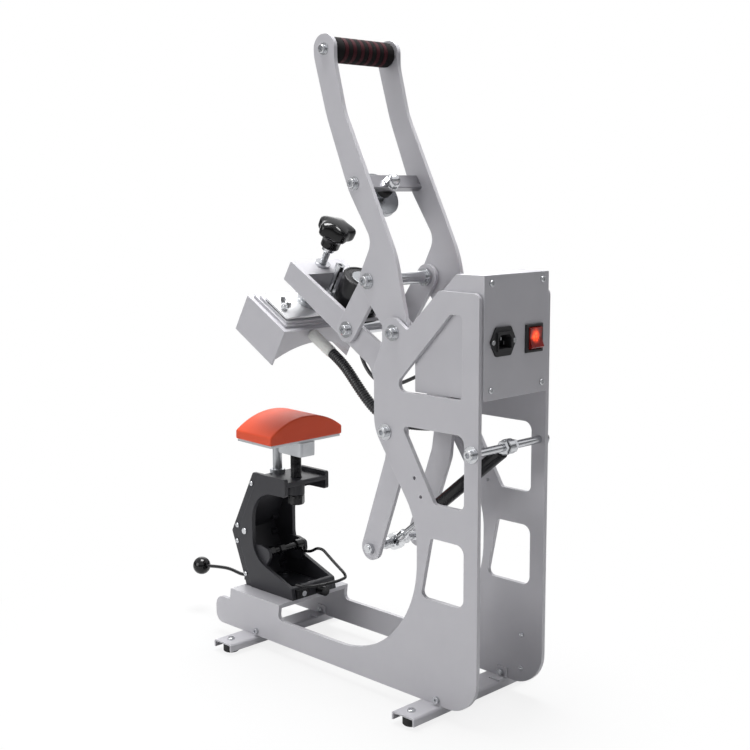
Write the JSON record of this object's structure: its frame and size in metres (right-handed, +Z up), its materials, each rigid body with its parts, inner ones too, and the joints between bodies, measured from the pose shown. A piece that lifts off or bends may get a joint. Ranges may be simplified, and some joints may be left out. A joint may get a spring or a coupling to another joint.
{
  "type": "cap heat press",
  "caption": "Cap heat press: upright foam-grip handle, toggle linkage with gas spring, arched swing heater over a curved silicone pad, rear control box.",
  "frame": {"origin": "on the ground, in the middle of the press's width and of its depth", "axes": "+Z up, -Y towards the operator and the pad, +Y towards the control box, +X towards the operator's right seen from the front"},
  "size_m": [0.242, 0.6378, 0.868],
  "materials": {
    "frame_paint": "light grey powder coat",
    "cut_steel": "bare machined steel",
    "zinc_steel": "bright zinc-plated fasteners",
    "chrome_steel": "polished chrome",
    "mirror_steel": "bright rolled steel",
    "black_cast": "satin black paint on a casting",
    "black_paint": "gloss black paint",
    "black_plastic": "moulded black plastic",
    "matte_black": "matt black plastic",
    "black_rubber": "black rubber",
    "black_foam": "closed-cell black foam",
    "red_band": "dark red rubber rings",
    "red_silicone": "matt orange-red silicone",
    "red_rocker": "clear red plastic, lit",
    "sleeve_white": "off-white glass-fibre sleeve",
    "display_glass": "dark red window",
    "key_grey": "dark grey key caps",
    "aluminium_plate": "machined aluminium"
  },
  "bodies": {
    "frame": {"side_plate_near": "frame_paint", "side_plate_far": "frame_paint", "shelf_plate": "frame_paint", "foot_bars": "frame_paint", "rubber_feet": "black_rubber", "frame_hardware": "zinc_steel", "frame_pins": "zinc_steel", "control_box": "frame_paint", "rear_panel": "frame_paint", "mains_inlet": "matte_black", "switch_frame": "matte_black", "display_bezel": "matte_black", "display_window": "display_glass", "box_glands": "black_plastic", "magnet_cable": "matte_black", "heater_hose": "matte_black", "silicone_pad": "red_silicone", "platen_tray": "aluminium_plate", "guide_post": "chrome_steel", "lift_screw": "black_paint", "casting_cheeks": "black_cast", "casting_core": "black_cast", "casting_fittings": "black_paint"},
    "handle": {"handle_arms": "frame_paint", "grip_foam": "black_foam", "grip_bands": "red_band", "handle_rods": "zinc_steel", "crossbar": "frame_paint", "link_top_pin": "zinc_steel", "armature_cushion": "black_rubber"},
    "armature": {"armature_disc": "chrome_steel"},
    "link": {"toggle_links": "frame_paint", "link_low_bolts": "zinc_steel"},
    "lift_arm": {"lifting_arms": "frame_paint", "arm_rods": "zinc_steel", "bridge": "frame_paint", "screw_bush": "zinc_steel", "magnet_bracket": "frame_paint", "magnet_pot": "black_paint", "magnet_pole": "cut_steel"},
    "heater": {"heater_hood": "frame_paint", "heater_platen": "aluminium_plate", "heater_cover": "frame_paint", "heater_top_plate": "mirror_steel", "heater_spindle": "cut_steel", "lead_sleeve": "sleeve_white"},
    "screw": {"pressure_screw": "cut_steel", "star_knob": "black_plastic"},
    "spring_cylinder_body": {"spring_cylinder": "black_paint"},
    "spring_rod_body": {"spring_rod": "chrome_steel"},
    "rocker_body": {"rocker": "red_rocker"},
    "key_down_body": {"key_down": "key_grey"},
    "key_set_body": {"key_set": "key_grey"},
    "key_up_body": {"key_up": "key_grey"},
    "lever": {"ball_lever": "black_paint", "lever_ball": "black_plastic"},
    "bail": {"wire_bail": "black_paint"},
    "knob": {"round_knob": "black_plastic"},
    "wing_near": {"wing_nut_near": "chrome_steel"},
    "wing_far": {"wing_nut_far": "chrome_steel"}
  },
  "joints": [
    {"name": "handle_hinge", "type": "hinge", "parent": "frame", "child": "handle", "pos_m": [0, 0.1667, 0.4885], "axis": [1, 0, 0], "range_deg": [0, 64], "stiffness_Nm_per_rad": 5.4, "springref_deg": -148.97},
    {"name": "lift_arm_hinge", "type": "hinge", "parent": "frame", "child": "lift_arm", "pos_m": [0, 0.1532, 0.3595], "axis": [1, 0, 0], "range_deg": [0, 29.01], "deforming": ["heater_hose", "magnet_cable"]},
    {"name": "link_hinge", "type": "hinge", "parent": "handle", "child": "link", "pos_m": [0, 0.1147, 0.551], "axis": [1, 0, 0], "range_deg": [-87.6, 0]},
    {"name": "armature_tilt", "type": "hinge", "parent": "handle", "child": "armature", "pos_m": [0, 0.0777, 0.66364], "axis": [1, 0, 0], "range_deg": [-8, 0]},
    {"name": "spring_cylinder_hinge", "type": "hinge", "parent": "frame", "child": "spring_cylinder_body", "pos_m": [0, 0.2987, 0.3507], "axis": [1, 0, 0], "range_deg": [0, 17.4]},
    {"name": "spring_rod_slide", "type": "slide", "parent": "spring_cylinder_body", "child": "spring_rod_body", "axis": [0, 0.7721, 0.6356], "range_m": [0, 0.058]},
    {"name": "heater_slide", "type": "slide", "parent": "lift_arm", "child": "heater", "axis": [0, 0.5041, 0.8637], "range_m": [0, 0.005]},
    {"name": "pressure_screw_turn", "type": "hinge", "parent": "heater", "child": "screw", "pos_m": [0, -0.03629, 0.5667], "axis": [0, 0.5041, 0.8637], "range_deg": [0, 1201]},
    {"name": "wing_nut_near_turn", "type": "hinge", "parent": "heater", "child": "wing_near", "pos_m": [0.052, -0.06103, 0.50645], "axis": [0, 0.5041, 0.8637], "continuous": true},
    {"name": "wing_nut_far_turn", "type": "hinge", "parent": "heater", "child": "wing_far", "pos_m": [-0.052, -0.06103, 0.50645], "axis": [0, 0.5041, 0.8637], "continuous": true},
    {"name": "rocker_tilt", "type": "hinge", "parent": "frame", "child": "rocker_body", "pos_m": [-0.0326, 0.3097, 0.485], "axis": [-1, 0, 0], "range_deg": [0, 14]},
    {"name": "key_down_press", "type": "slide", "parent": "frame", "child": "key_down_body", "axis": [0, 0.7071, -0.7071], "range_m": [0, 0.0008], "stiffness_N_per_m": 600, "springref_m": -0.0008},
    {"name": "key_set_press", "type": "slide", "parent": "frame", "child": "key_set_body", "axis": [0, 0.7071, -0.7071], "range_m": [0, 0.0008], "stiffness_N_per_m": 600, "springref_m": -0.0008},
    {"name": "key_up_press", "type": "slide", "parent": "frame", "child": "key_up_body", "axis": [0, 0.7071, -0.7071], "range_m": [0, 0.0008], "stiffness_N_per_m": 600, "springref_m": -0.0008},
    {"name": "ball_lever_swing", "type": "hinge", "parent": "frame", "child": "lever", "pos_m": [0.024, -0.1823, 0.084], "axis": [1, 0, 0], "range_deg": [-70, 0]},
    {"name": "bail_swing", "type": "hinge", "parent": "frame", "child": "bail", "pos_m": [-0.028, -0.1283, 0.133], "axis": [1, 0, 0], "range_deg": [0, 45]},
    {"name": "round_knob_turn", "type": "hinge", "parent": "frame", "child": "knob", "pos_m": [-0.006, -0.0513, 0.083], "axis": [0, 1, 0], "continuous": true}
  ],
  "couplings": [
    {"joint": "lift_arm_hinge", "follows": "handle_hinge", "ratio": 0.45312},
    {"joint": "link_hinge", "follows": "handle_hinge", "ratio": -1.3681},
    {"joint": "armature_tilt", "follows": "handle_hinge", "ratio": -0.119},
    {"joint": "spring_cylinder_hinge", "follows": "handle_hinge", "ratio": 0.2703},
    {"joint": "spring_rod_slide", "follows": "handle_hinge", "m_per_rad": 0.0515},
    {"joint": "pressure_screw_turn", "follows": "heater_slide", "rad_per_m": 4188.8}
  ]
}
